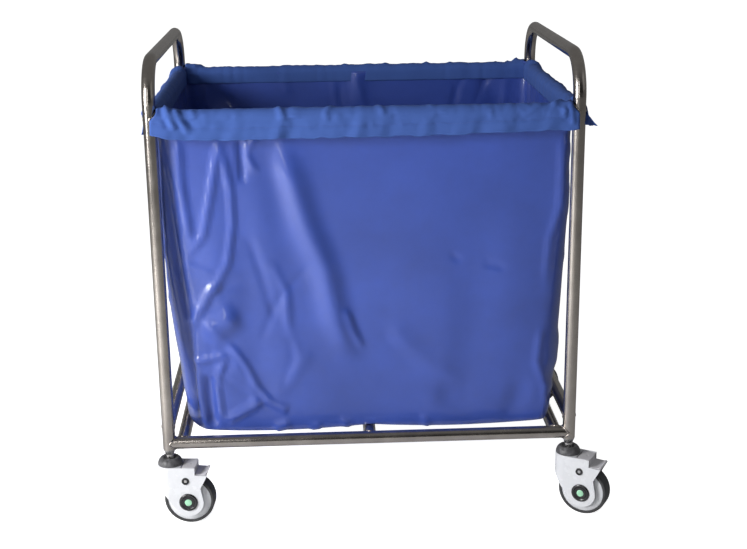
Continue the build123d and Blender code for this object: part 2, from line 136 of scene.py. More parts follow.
class TrolleyBagSettings(bpy.types.PropertyGroup):
    """Cloth of the bag and how it hangs."""

    cloth_colour: colour_property("Cloth", "Colour of the coated nylon cloth", (0.032, 0.075, 0.385))
    thread_colour: colour_property("Thread", "Colour of the sewing thread", (0.045, 0.085, 0.32))
    cloth_roughness: share_property("Cloth roughness", "How dull the coated cloth is", 0.5)
    cloth_thickness: length_property("Cloth thickness", "Thickness of the cloth", 0.0014, 0.0005, 0.004)
    grid_pitch: length_property("Grid pitch", "Spacing of the cloth grid that is draped", 0.0125, 0.006, 0.04)
    fold_depth: amount_property("Fold depth", "How deep the folds are, as a share of their drawn depth", 1.15)
    slack: share_property("Slack", "Spare cloth in the walls as a share of their size", 0.022, high=0.1)
    settle_frames: IntProperty(
        name="Settling", description="Frames for which the cloth is left to hang", min=1, default=28
    )
    sag: length_property("Sag", "How far the bottom hangs between the base bars", 0.009, 0.0, 0.05)
    corner_rise: length_property("Corner gather", "How far the corners stand up", 0.018, 0.0, 0.05)
    cuff_tail: length_property("Cuff tail", "How far the cuff reaches down inside the bag", 0.02, 0.0, 0.1)
    stitch_pitch: length_property("Stitch pitch", "Distance from stitch to stitch", 0.0044, 0.002, 0.02)


class TrolleyCasterSettings(bpy.types.PropertyGroup):
    """Colours of the caster's moulded parts."""

    fork_colour: colour_property("Fork", "Colour of the glossy fork and hub", (0.7, 0.71, 0.74))
    pedal_colour: colour_property("Pedal", "Colour of the brake pedal", (0.62, 0.61, 0.64))
    collar_colour: colour_property("Collar", "Colour of the dust collar", (0.06, 0.06, 0.064))
    tyre_colour: colour_property("Tyre", "Colour of the rubber tyre", (0.03, 0.03, 0.032))
    cap_colour: colour_property("Axle cap", "Colour of the axle cap", (0.012, 0.012, 0.014))
    plug_colour: colour_property("Cap centre", "Colour of the plug in the axle cap", (0.36, 0.7, 0.47))


# ---------------------------------------------------------------- shared helpers


def make_object(name, vertices, faces, smooth=True):
    """Link a new mesh object made from points and faces."""
    mesh = bpy.data.meshes.new(name)
    mesh.from_pydata([tuple(point) for point in vertices], [], faces)
    mesh.validate()
    mesh.polygons.foreach_set("use_smooth", [smooth] * len(mesh.polygons))
    piece = bpy.data.objects.new(name, mesh)
    bpy.context.scene.collection.objects.link(piece)
    return piece


def append_mesh(points, faces, more_points, more_faces):
    """Add more points and their faces to growing lists."""
    faces += [tuple(len(points) + corner for corner in face) for face in more_faces]
    points += more_points


def bake_modifiers(piece):
    """Replace a piece's mesh by what its modifiers make of it, and take them off."""
    graph = bpy.context.evaluated_depsgraph_get()
    finished = bpy.data.meshes.new_from_object(piece.evaluated_get(graph))
    piece.modifiers.clear()
    piece.data = finished
    finished.name = piece.name


def thicken(piece, thickness):
    """Give a sheet its thickness, half on each side."""
    modifier = piece.modifiers.new("thick", "SOLIDIFY")
    modifier.thickness = thickness
    modifier.offset = 0.0
    bake_modifiers(piece)


def positions(piece):
    """The mesh's points as an array of rows."""
    flat = np.zeros(len(piece.data.vertices) * 3, np.float32)
    piece.data.vertices.foreach_get("co", flat)
    return flat.reshape(-1, 3).astype(float)


def normals(piece):
    """The mesh's point normals as an array of rows."""
    flat = np.zeros(len(piece.data.vertices) * 3, np.float32)
    piece.data.vertex_normals.foreach_get("vector", flat)
    return flat.reshape(-1, 3).astype(float)


def set_positions(piece, points):
    """Move the mesh's points to these rows."""
    piece.data.vertices.foreach_set("co", points.astype(np.float32).ravel())
    piece.data.update()


def ease(value, low, high):
    """0 below low, 1 above high and a smooth step between."""
    share = np.clip((value - low) / (high - low), 0.0, 1.0)
    return share * share * (3 - 2 * share)


def bell(value, width):
    """1 at zero, falling smoothly to nothing a few widths away."""
    return np.exp(-((value / width) ** 2))


def middle(node):
    """The centre of a CAD node's box."""
    low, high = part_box(node)
    return (low + high) / 2


def frame_sizes():
    """The legs' distances from the middle, along and across, and the radius of the tube."""
    low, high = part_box("rim_front_bar")
    return abs(middle("rim_left_bar").x), abs(middle("rim_front_bar").y), (high.z - low.z) / 2


# ---------------------------------------------------------------- materials


def add_node(tree, kind, values=None, links=None, **attributes):
    """A new shader node with its attributes, the values of its inputs and what is linked to them."""
    node = tree.nodes.new(f"ShaderNode{kind}")
    for name, value in attributes.items():
        setattr(node, name, value)
    for socket, value in (values or {}).items():
        node.inputs[socket].default_value = value
    for socket, source in (links or {}).items():
        tree.links.new(source, node.inputs[socket])
    return node


def material_with(name, colour, roughness, metallic=0.0):
    """A new material, its node tree and its shader."""
    material = bpy.data.materials.new(name)
    material.use_nodes = True
    shader = material.node_tree.nodes["Principled BSDF"]
    shader.inputs["Base Color"].default_value = (*colour, 1.0)
    shader.inputs["Roughness"].default_value = roughness
    shader.inputs["Metallic"].default_value = metallic
    return material, material.node_tree, shader


def object_space(tree, stretch=(1.0, 1.0, 1.0)):
    """Object space stretched along each axis."""
    place = add_node(tree, "TexCoord").outputs["Object"]
    return add_node(tree, "Mapping", {"Scale": stretch}, {"Vector": place}).outputs["Vector"]


def noise(tree, scale, detail=3.0, rough=0.5, stretch=(1.0, 1.0, 1.0)):
    """A noise pattern in object space."""
    values = {"Scale": scale, "Detail": detail, "Roughness": rough}
    return add_node(tree, "TexNoise", values, {"Vector": object_space(tree, stretch)}).outputs["Fac"]


def scaled(tree, value, from_low, from_high, low, high, **attributes):
    """A value mapped from one range onto another."""
    values = {"From Min": from_low, "From Max": from_high, "To Min": low, "To Max": high}
    return add_node(tree, "MapRange", values, {"Value": value}, **attributes).outputs["Result"]


def spread(tree, pattern, low, high):
    """A pattern's middle values mapped onto a range."""
    return scaled(tree, pattern, 0.3, 0.7, low, high)


def combine(tree, operation, first, second, **attributes):
    """Two values put together by a Math node."""
    return add_node(
        tree, "Math", links={0: first, 1: second}, operation=operation, **attributes
    ).outputs["Value"]


def vary(tree, shader, pattern, darker, lighter, roughness=None):
    """Vary the base colour between two shares of it, and the roughness over a range, with a pattern."""
    colour = shader.inputs["Base Color"].default_value[:3]
    mix = add_node(
        tree, "Mix",
        {
            "A": (*[share * darker for share in colour], 1.0),
            "B": (*[min(share * lighter, 1.0) for share in colour], 1.0),
        },
        {"Factor": spread(tree, pattern, 0.0, 1.0)},
        data_type="RGBA",
    )
    tree.links.new(mix.outputs["Result"], shader.inputs["Base Color"])
    if roughness:
        tree.links.new(spread(tree, pattern, *roughness), shader.inputs["Roughness"])


def add_bump(tree, shader, height, distance, strength=1.0, under=None):
    """Put a height pattern into the shader's normal, on top of an earlier bump."""
    links = {"Height": height}
    if under is not None:
        links["Normal"] = under
    bump = add_node(tree, "Bump", {"Distance": distance, "Strength": strength}, links)
    tree.links.new(bump.outputs["Normal"], shader.inputs["Normal"])
    return bump.outputs["Normal"]


def steel_material(settings, name, brushed):
    """Satin stainless tube with fine polishing lines round it and slight smears."""
    dull = settings.steel_roughness
    material, tree, shader = material_with(name, settings.steel_colour, dull, metallic=1.0)
    lines = noise(tree, 1.0, detail=4.0, rough=0.6, stretch=brushed)
    smears = noise(tree, 24.0, detail=5.0, rough=0.62)
    vary(tree, shader, smears, 0.86, 1.12)
    low = dull * 0.35
    both = combine(tree, "ADD", spread(tree, lines, low, dull * 0.85), spread(tree, smears, low, dull * 0.6))
    tree.links.new(both, shader.inputs["Roughness"])
    add_bump(tree, shader, lines, 0.00004)
    return material


def cloth_material(settings):
    """Coated nylon: a fine plain weave, soft sheen and faint handling marks."""
    dull = settings.cloth_roughness
    material, tree, shader = material_with("bag_cloth", settings.cloth_colour, dull)
    shader.inputs["Sheen Weight"].default_value = 0.05
    shader.inputs["Sheen Roughness"].default_value = 0.4
    shader.inputs["Coat Weight"].default_value = 0.9
    shader.inputs["Coat Roughness"].default_value = 0.19
    marks = noise(tree, 9.0, detail=6.0, rough=0.6)
    vary(tree, shader, marks, 0.88, 1.12, (dull - 0.05, dull + 0.07))
    uv = add_node(tree, "UVMap", uv_map="cloth").outputs["UV"]
    parts = add_node(tree, "SeparateXYZ", links={"Vector": uv})
    threads = []
    for axis in ("X", "Y"):
        turn = add_node(
            tree, "Math", {1: 2 * math.pi / WEAVE_PITCH}, {0: parts.outputs[axis]}, operation="MULTIPLY"
        )
        wave = add_node(tree, "Math", links={0: turn.outputs["Value"]}, operation="SINE")
        threads.append(wave.outputs["Value"])
    weave = combine(tree, "MULTIPLY", *threads)
    crumple = noise(tree, 70.0, detail=3.0, rough=0.55)
    under = add_bump(tree, shader, crumple, 0.0009, 0.3)
    add_bump(tree, shader, weave, 0.00005, 0.8, under)
    return material


def thread_material(settings):
    """Twisted sewing thread."""
    material, tree, shader = material_with("thread", settings.thread_colour, 0.6)
    fibres = noise(tree, 900.0, detail=2.0)
    vary(tree, shader, fibres, 0.7, 1.3)
    add_bump(tree, shader, fibres, 0.0001)
    return material


def plastic_material(name, colour, roughness, grain, coat=0.0, texture=0.00002):
    """Moulded plastic with a fine grain and a little unevenness in its gloss."""
    material, tree, shader = material_with(name, colour, roughness)
    shader.inputs["Coat Weight"].default_value = coat
    shader.inputs["Coat Roughness"].default_value = 0.08
    broad = noise(tree, 30.0, detail=4.0, rough=0.6)
    vary(tree, shader, broad, 0.95, 1.04, (roughness * 0.85, roughness * 1.2))
    add_bump(tree, shader, noise(tree, grain, detail=2.0), texture)
    return material


def collar_material(settings):
    """Dark rubbery dust collar with a coarse pebbled skin."""
    material, tree, shader = material_with("collar_plastic", settings.collar_colour, 0.45)
    cells = add_node(
        tree, "TexVoronoi", {"Scale": 260.0}, {"Vector": object_space(tree)}, feature="SMOOTH_F1"
    )
    dust = noise(tree, 120.0, detail=5.0, rough=0.65)
    vary(tree, shader, dust, 0.6, 2.4, (0.36, 0.6))
    under = add_bump(tree, shader, cells.outputs["Distance"], 0.0012, 0.7)
    add_bump(tree, shader, dust, 0.0006, 0.6, under)
    return material


def tyre_material(settings):
    """Grey-black rubber, dusty and slightly scuffed."""
    material, tree, shader = material_with("tyre_rubber", settings.tyre_colour, 0.55)
    scuffs = noise(tree, 90.0, detail=6.0, rough=0.7)
    vary(tree, shader, scuffs, 0.75, 1.9, (0.42, 0.68))
    add_bump(tree, shader, scuffs, 0.0002)
    return material


def bare_steel_material(name, colour, roughness):
    """Plain machined steel of bearings and bolts."""
    material, tree, shader = material_with(name, colour, roughness, metallic=1.0)
    turning = noise(tree, 240.0, detail=4.0)
    vary(tree, shader, turning, 0.85, 1.1, (roughness * 0.7, roughness * 1.3))
    add_bump(tree, shader, turning, 0.00003)
    return material


def dress(node, material):
    """Give a CAD node one material in every slot."""
    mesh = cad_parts[node].data
    mesh.materials.clear()
    mesh.materials.append(material)
    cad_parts[node].active_material = material


# ---------------------------------------------------------------- stage


def soft_light(name, place, target, width, height, power):
    """A rectangular area light that faces a point."""
    light = bpy.data.lights.new(name, "AREA")
    light.shape = "RECTANGLE"
    light.size = width
    light.size_y = height
    light.energy = power
    lamp = bpy.data.objects.new(name, light)
    lamp.location = place
    lamp.visible_camera = False
    lamp.rotation_euler = (Vector(target) - Vector(place)).to_track_quat("-Z", "Y").to_euler()
    bpy.context.scene.collection.objects.link(lamp)


def studio_floor(colour, glow):
    """A wide pale floor with a very slight unevenness, which looks brighter than the light it throws back."""
    reach = 40.0
    floor = make_object(
        "studio_floor",
        [(-reach, -reach, 0), (reach, -reach, 0), (reach, reach, 0), (-reach, reach, 0)],
        [(0, 1, 2, 3)],
        smooth=False,
    )
    material, tree, shader = material_with("studio_floor", colour, 0.6)
    vary(tree, shader, noise(tree, 2.0), 0.99, 1.01)
    path = add_node(tree, "LightPath").outputs["Is Camera Ray"]
    seen = add_node(tree, "Math", {1: glow}, {0: path}, operation="MULTIPLY")
    shader.inputs["Emission Color"].default_value = WHITE
    tree.links.new(seen.outputs["Value"], shader.inputs["Emission Strength"])
    floor.data.materials.append(material)


def studio_world(strength):
    """Even white light, a little darker towards the front and the ground."""
    world = bpy.data.worlds.new("studio")
    bpy.context.scene.world = world
    world.use_nodes = True
    tree = world.node_tree
    background = tree.nodes["Background"]
    place = add_node(tree, "TexCoord").outputs["Generated"]
    parts = add_node(tree, "SeparateXYZ", links={"Vector": place})
    around = scaled(tree, parts.outputs["Y"], -0.9, 0.2, 0.08, 1.0, interpolation_type="SMOOTHSTEP")
    ceiling = scaled(tree, parts.outputs["Z"], 0.3, 0.8, 0.0, 0.6)
    total = combine(tree, "ADD", around, ceiling, use_clamp=True)
    tree.links.new(total, background.inputs["Color"])
    background.inputs["Strength"].default_value = strength
    # Where the view looks past the floor it sees plain white, which lights nothing.
    backdrop = add_node(tree, "Background", {"Color": WHITE, "Strength": 1.6})
    chosen = add_node(
        tree, "MixShader",
        links={
            "Fac": add_node(tree, "LightPath").outputs["Is Camera Ray"],
            1: background.outputs["Background"],
            2: backdrop.outputs["Background"],
        },
    )
    tree.links.new(chosen.outputs["Shader"], tree.nodes["World Output"].inputs["Surface"])


class TROLLEY_OT_stage(bpy.types.Operator):
    """Make the floor, the soft lights and the camera"""

    bl_idname = "trolley.stage"
    bl_label = "Stage"

    def execute(self, context):
        settings = context.scene.trolley_stage
        studio_floor(settings.floor_colour, settings.floor_glow)
        studio_world(settings.sky_strength)
        heart = (0.0, 0.0, 0.5)
        soft_light("key", (-2.1, -1.6, 1.15), heart, 0.8, 1.3, settings.key_power)
        soft_light("fill", (3.0, -1.6, 2.0), heart, 2.0, 2.0, settings.fill_power)
        soft_light("strip", (-1.1, -3.4, 1.6), heart, 0.35, 2.4, settings.strip_power)
        lens = bpy.data.cameras.new("camera")
        lens.lens = settings.lens
        lens.clip_end = 200.0
        camera = bpy.data.objects.new("camera", lens)
        turn = Matrix.Rotation(-settings.camera_yaw, 4, "Z")
        tilt = Matrix.Rotation(math.pi / 2 - settings.camera_pitch, 4, "X")
        lean = Matrix.Rotation(settings.camera_roll, 4, "Z")
        camera.matrix_world = Matrix.Translation(settings.camera_place) @ turn @ tilt @ lean
        context.scene.collection.objects.link(camera)
        context.scene.camera = camera
        context.scene.view_settings.view_transform = "Standard"
        return {"FINISHED"}


# ---------------------------------------------------------------- steel frame


def weld_bead(centre, along, across, tube_radius, bead_radius, draw):
    """Points and faces of one rippled bead where a bar meets an upright tube of equal size."""
    up = along.cross(across)
    path = []
    for step in range(BEAD_STEPS):
        turn = 2 * math.pi * step / BEAD_STEPS
        reach = tube_radius * abs(math.sin(turn)) + 0.3 * bead_radius
        swell = tube_radius + 0.2 * bead_radius
        path.append(
            centre + along * reach + across * (swell * math.cos(turn)) + up * (swell * math.sin(turn))
        )
    points, faces = [], []
    for step, spot in enumerate(path):
        forward = (path[(step + 1) % BEAD_STEPS] - path[step - 1]).normalized()
        outward = (spot - centre).normalized()
        side = forward.cross(outward).normalized()
        outward = side.cross(forward).normalized()
        radius = bead_radius * (1 + 0.14 * math.sin(2 * math.pi * step / 3) + draw.uniform(-0.08, 0.08))
        for corner in range(BEAD_SIDES):
            turn = 2 * math.pi * corner / BEAD_SIDES
            points.append(spot + (outward * math.cos(turn) * 0.75 + side * math.sin(turn)) * radius)
            after = (step + 1) % BEAD_STEPS
            faces.append((
                step * BEAD_SIDES + corner,
                after * BEAD_SIDES + corner,
                after * BEAD_SIDES + (corner + 1) % BEAD_SIDES,
                step * BEAD_SIDES + (corner + 1) % BEAD_SIDES,
            ))
    return points, faces


class TROLLEY_OT_tubes(bpy.types.Operator):
    """Finish the steel tubes and lay a weld bead round each joint"""

    bl_idname = "trolley.tubes"
    bl_label = "Steel tubes and welds"

    def execute(self, context):
        settings = context.scene.trolley_frame
        fine, coarse = 900.0, 6.0
        upright = steel_material(settings, "steel_end_frame", (coarse * 4, coarse * 4, fine))
        lengthwise = steel_material(settings, "steel_long_bar", (fine, coarse, coarse))
        crosswise = steel_material(settings, "steel_cross_bar", (coarse, fine, coarse))
        long_bars = ("rim_front_bar", "rim_back_bar", "base_front_rail", "base_back_rail")
        cross_bars = (
            "rim_left_bar", "rim_right_bar", "end_rail_left", "end_rail_right",
            "base_left_bar", "base_centre_bar", "base_right_bar",
        )
        for node in ("end_frame_left", "end_frame_right"):
            dress(node, upright)
        for node in long_bars:
            dress(node, lengthwise)
        for node in cross_bars:
            dress(node, crosswise)

        # The base bars meet level rails, and all the other bars meet upright legs.
        leg_x, leg_y, tube_radius = frame_sizes()
        vertical = Vector((0, 0, 1))
        draw = random.Random(SEED)
        points, faces = [], []
        for node in long_bars + cross_bars:
            for end in (-1, 1):
                spot = middle(node)
                if node in long_bars:
                    spot.x = end * leg_x
                    along = Vector((-end, 0, 0))
                else:
                    spot.y = end * leg_y
                    along = Vector((0, -end, 0))
                meets_rail = node in cross_bars and node.startswith("base")
                across = vertical if meets_rail else vertical.cross(along)
                bead = weld_bead(spot, along, across, tube_radius, settings.bead_radius, draw)
                append_mesh(points, faces, *bead)
        beads = make_object("weld_beads", points, faces)
        beads.data.materials.append(steel_material(settings, "steel_weld", (fine / 3, fine / 3, fine / 3)))
        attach(beads, "frame")
        return {"FINISHED"}


# ---------------------------------------------------------------- bag


def soften_corner(points, distance, corner, before, after, cut_before, cut_after, flatness):
    """Round the part of each level loop near one corner; distance runs negative to positive past it."""
    cut = np.where(distance < 0, cut_before, cut_after)
    share = np.clip(0.5 + 0.5 * distance / cut, 0.0, 1.0)[..., None]
    start = corner + before * cut_before[..., None]
    end = corner + after * cut_after[..., None]
    curve = (1 - share) ** 2 * start + 2 * share * (1 - share) * corner + share**2 * end
    straight = (1 - share) * start + share * end
    rounded = curve * (1 - flatness) + straight * flatness
    near = (np.abs(distance) < cut)[..., None]
    return np.where(near, rounded, points)


def by_pairs(place, pairs):
    """A value that changes evenly between (place, value) pairs, whose places rise."""
    return np.interp(place, *zip(*pairs))


def distance_to_path(points, path):
    """Each point's distance to a path of 2D points, and its share along it."""
    best = np.full(len(points), 1e9)
    along = np.zeros(len(points))
    path = np.array(path, float)
    lengths = np.linalg.norm(np.diff(path, axis=0), axis=1)
    covered = 0.0
    for start, end, length in zip(path[:-1], path[1:], lengths):
        direction = (end - start) / length
        offset = points - start
        run = np.clip(offset @ direction, 0, length)
        gap = offset - run[:, None] * direction
        size = np.linalg.norm(gap, axis=1)
        closer = size < best
        best = np.where(closer, size, best)
        along = np.where(closer, (covered + run) / lengths.sum(), along)
        covered += length
    return best, along


def fold(points, path, width, height, crisp=False):
    """The height of one fold over a wall: a soft or crisp ridge that fades at both ends."""
    distance, along = distance_to_path(points, path)
    size = distance / width
    profile = np.clip(1 - size, 0, 1) if crisp else np.exp(-((size * 1.4) ** 2))
    fade = ease(along, -0.02, 0.18) * (1 - ease(along, 0.8, 1.02))
    return height * profile * fade


# Folds of the front wall: path as (x, height above the rim), width and height; a hollow is negative.
FRONT_FOLDS = (
    (((-0.176, -0.036), (-0.14, -0.125), (-0.117, -0.211), (-0.081, -0.298), (-0.062, -0.406), (-0.026, -0.51)),
     0.03, 0.012),
    (((-0.352, -0.036), (-0.351, -0.125), (-0.337, -0.255)), 0.012, 0.0052),
    (((-0.275, -0.045), (-0.294, -0.142), (-0.313, -0.229), (-0.351, -0.276)), 0.01, 0.0052),
    (((-0.275, -0.045), (-0.258, -0.138), (-0.257, -0.211), (-0.269, -0.285), (-0.29, -0.324), (-0.294, -0.372)),
     0.009, 0.005),
    (((-0.292, -0.32), (-0.32, -0.372), (-0.352, -0.42)), 0.013, 0.008),
    (((-0.352, -0.286), (-0.297, -0.307)), 0.007, 0.002),
    (((-0.325, -0.425), (-0.25, -0.392)), 0.034, 0.012),
    (((-0.275, -0.445), (-0.244, -0.493), (-0.221, -0.545), (-0.19, -0.583)), 0.009, 0.0052),
    (((-0.356, -0.49), (-0.3, -0.48), (-0.27, -0.474)), 0.01, 0.006),
    (((-0.272, -0.474), (-0.29, -0.5), (-0.301, -0.54), (-0.293, -0.622)), 0.009, 0.0052),
    (((-0.342, -0.5), (-0.338, -0.56), (-0.327, -0.635)), 0.009, 0.0052),
    (((-0.318, -0.51), (-0.316, -0.57), (-0.312, -0.64)), 0.013, -0.008),
    (((-0.29, -0.62), (-0.24, -0.59), (-0.208, -0.566)), 0.014, 0.006),
    (((-0.21, -0.568), (-0.16, -0.598)), 0.014, 0.005),
    (((-0.195, -0.574), (-0.15, -0.52), (-0.11, -0.462)), 0.02, 0.004),
    (((-0.236, -0.036), (-0.233, -0.13)), 0.008, -0.006),
    (((-0.225, -0.07), (-0.204, -0.04)), 0.008, 0.0035),
    (((-0.226, -0.068), (-0.208, -0.11)), 0.008, 0.0035),
    (((-0.385, -0.036), (-0.368, -0.22), (-0.35, -0.4), (-0.352, -0.48), (-0.346, -0.64)), 0.014, -0.01),
    (((-0.046, -0.38), (-0.03, -0.43), (-0.01, -0.47)), 0.01, 0.004),
    (((0.03, -0.416), (0.11, -0.491), (0.195, -0.556)), 0.024, 0.004),
    (((0.125, -0.566), (0.235, -0.591), (0.335, -0.571)), 0.05, -0.006),
    (((0.16, -0.276), (0.18, -0.291)), 0.01, -0.002),
    (((0.225, -0.296), (0.268, -0.308)), 0.01, -0.002),
    (((0.373, -0.036), (0.372, -0.186), (0.353, -0.251), (0.346, -0.351)), 0.01, 0.003),
    (((0.342, -0.426), (0.334, -0.504), (0.353, -0.56), (0.357, -0.626)), 0.01, 0.003),
    (((-0.19, -0.64), (-0.158, -0.626)), 0.012, 0.005),
    (((-0.12, -0.64), (-0.096, -0.634)), 0.01, 0.004),
    (((-0.055, -0.621), (-0.04, -0.643)), 0.01, 0.003),
    (((0.105, -0.621), (0.122, -0.643)), 0.01, 0.003),
)


def random_folds(draw, half_width, low, high, count, sizes, heights):
    """Folds that nobody placed: short paths, mostly upright, each with a width and a height."""
    folds = []
    for _ in range(count):
        start = (draw.uniform(-half_width, half_width), draw.uniform(low, high))
        angle = draw.gauss(math.pi / 2, 0.55)
        length = draw.uniform(0.07, 0.22)
        bend = draw.gauss(0, 0.35)
        middle_point = (start[0] + length / 2 * math.cos(angle), start[1] + length / 2 * math.sin(angle))
        end = (
            middle_point[0] + length / 2 * math.cos(angle + bend),
            middle_point[1] + length / 2 * math.sin(angle + bend),
        )
        height = draw.uniform(*heights) * draw.choice((-1, 1, 1))
        folds.append(((start, middle_point, end), draw.uniform(*sizes), height))
    return folds


class BagShape:
    """The bag's places, read from the CAD frame."""

    def __init__(self, settings):
        self.settings = settings
        self.rim_z = middle("rim_front_bar").z
        self.leg_x, self.leg_y, self.tube_radius = frame_sizes()
        low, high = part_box("bag_body")
        self.bottom_z = low.z
        self.top_x = high.x
        self.top_y = high.y
        self.bottom_x = self.top_x - BOTTOM_INSET_X
        self.bottom_y = self.top_y - BOTTOM_INSET_Y
        low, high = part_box("bag_cuffs")
        self.cuff_drop = self.rim_z - low.z

    def height_share(self, heights):
        """0 at the bag's bottom and 1 at the rim."""
        return (heights - self.bottom_z) / (self.rim_z - self.bottom_z)


def wall_levels(shape, heights):
    """Half-length and half-depth of the bag at each height."""
    share = shape.height_share(heights)
    half_x = shape.bottom_x + (shape.top_x - shape.bottom_x) * share
    half_y = shape.bottom_y + (shape.top_y - shape.bottom_y) * share
    belly = np.sin(np.pi * np.clip(share, 0, 1))
    return half_x + BELLY_X * belly**0.6, half_y + BELLY_Y * belly


def drape_grid(shape):
    """Points, faces and uv of the bag's walls and bottom, before it hangs."""
    pitch = shape.settings.grid_pitch
    long_steps = round(2 * shape.top_x / pitch)
    deep_steps = round(2 * shape.top_y / pitch)
    rows = round((shape.rim_z - shape.bottom_z) / pitch)
    top_z = shape.rim_z + 0.002
    heights = top_z + (shape.bottom_z - top_z) * np.linspace(0, 1, rows + 1)
    half_x, half_y = wall_levels(shape, heights)

    runs = [np.arange(long_steps) / long_steps, np.arange(deep_steps) / deep_steps]
    half_x, half_y = half_x[:, None], half_y[:, None]
    front = np.stack(np.broadcast_arrays(-half_x + 2 * half_x * runs[0], -half_y), -1)
    right = np.stack(np.broadcast_arrays(half_x, -half_y + 2 * half_y * runs[1]), -1)
    loop = np.concatenate([front, right, -front, -right], axis=1)
    columns = loop.shape[1]
    perimeter = np.concatenate([
        2 * half_x * runs[0],
        2 * half_x + 2 * half_y * runs[1],
        2 * (half_x + half_y) + 2 * half_x * runs[0],
        2 * (2 * half_x + half_y) + 2 * half_y * runs[1],
    ], axis=1)
    total = 4 * (half_x + half_y)

    def from_corner(station):
        return (perimeter - station + total / 2) % total - total / 2

    def cuts(*pairs):
        return by_pairs(shape.height_share(heights), pairs)[:, None]

    # Each corner: where it is on the loop, the two directions away from it, its cuts and its flatness.
    plain = cuts((0.0, 0.03), (1.0, 0.018))
    tucked_front = cuts((0.0, 0.04), (0.18, 0.044), (0.5, 0.016), (1.0, 0.015))
    tucked_side = cuts((0.0, 0.05), (0.18, 0.06), (0.5, 0.026), (1.0, 0.018))
    creased = cuts(
        (0.0, 0.012), (0.11, 0.018), (0.2, 0.038), (0.45, 0.036), (0.61, 0.034), (0.7, 0.018), (1.0, 0.016)
    )
    creased_side = cuts((0.0, 0.03), (0.48, 0.05), (1.0, 0.018))
    flat_left = cuts((0.0, 0.75), (0.18, 0.7), (0.5, 0.1), (1.0, 0.0))
    corners = (
        (0 * half_x, (-1, -1), (0, 1), (1, 0), tucked_side, tucked_front, flat_left),
        (2 * half_x, (1, -1), (-1, 0), (0, 1), creased, creased_side, cuts((0.0, 0.3), (1.0, 0.1))),
        (2 * (half_x + half_y), (1, 1), (0, -1), (-1, 0), plain, plain, 0 * plain),
        (2 * (2 * half_x + half_y), (-1, 1), (1, 0), (0, -1), plain, plain, 0 * plain),
    )
    for station, signs, before, after, cut_before, cut_after, flatness in corners:
        distance = from_corner(station)
        corner = np.stack([signs[0] * half_x, signs[1] * half_y], -1)
        loop = soften_corner(
            loop, distance, corner, np.array(before, float), np.array(after, float),
            np.broadcast_to(cut_before, distance.shape), np.broadcast_to(cut_after, distance.shape),
            np.broadcast_to(flatness, distance.shape)[..., None],
        )
    levels = np.broadcast_to(heights[:, None], loop.shape[:2]).copy()
    # The cloth gathers upwards in each corner, beside the leg.
    near_top = ease(levels, shape.rim_z - 0.05, shape.rim_z)
    for station, signs, *rest in corners:
        distance = from_corner(station)
        peak = shape.settings.corner_rise * bell(distance, 0.024) * near_top
        levels += peak
        loop = loop + peak[..., None] * np.array(signs) * 0.25
    walls = np.concatenate([loop, levels[..., None]], -1)

    # The bottom is a patch stretched inside the lowest level.
    low_loop = walls[-1]
    u = np.linspace(0, 1, long_steps + 1)[:, None, None]
    v = np.linspace(0, 1, deep_steps + 1)[None, :, None]
    ring = np.concatenate([low_loop, low_loop[:1]])
    edge_front = ring[:long_steps + 1][:, None, :]
    edge_right = ring[long_steps:long_steps + deep_steps + 1][None, :, :]
    edge_back = ring[long_steps + deep_steps:2 * long_steps + deep_steps + 1][::-1][:, None, :]
    edge_left = ring[2 * long_steps + deep_steps:][::-1][None, :, :]
    blend_corners = (
        (1 - u) * (1 - v) * edge_front[0, 0] + u * (1 - v) * edge_front[-1, 0]
        + (1 - u) * v * edge_back[0, 0] + u * v * edge_back[-1, 0]
    )
    patch = (1 - v) * edge_front + v * edge_back + (1 - u) * edge_left + u * edge_right - blend_corners

    vertices = [tuple(point) for point in walls.reshape(-1, 3)]
    uvs = [(float(a), float(b)) for a, b in zip(perimeter.ravel(), np.repeat(heights, columns))]
    faces = []
    for row in range(rows):
        for column in range(columns):
            after = (column + 1) % columns
            faces.append((
                row * columns + column,
                (row + 1) * columns + column,
                (row + 1) * columns + after,
                row * columns + after,
            ))
    index = np.zeros((long_steps + 1, deep_steps + 1), int)
    base = rows * columns
    index[:, 0] = base + np.arange(long_steps + 1)
    index[-1, :] = base + long_steps + np.arange(deep_steps + 1)
    index[:, -1] = base + (long_steps + deep_steps + np.arange(long_steps + 1))[::-1]
    left_ring = base + (2 * long_steps + deep_steps + np.arange(deep_steps + 1)) % columns
    left_ring[-1] = base
    index[0, :] = left_ring[::-1]
    for i in range(1, long_steps):
        for j in range(1, deep_steps):
            index[i, j] = len(vertices)
            vertices.append(tuple(patch[i, j]))
            uvs.append((float(patch[i, j][0]) + 4.0, float(patch[i, j][1]) + 4.0))
    for i in range(long_steps):
        for j in range(deep_steps):
            faces.append((index[i, j], index[i, j + 1], index[i + 1, j + 1], index[i + 1, j]))
    faces = [tuple(int(corner) for corner in face) for face in faces]
    return vertices, faces, uvs, columns


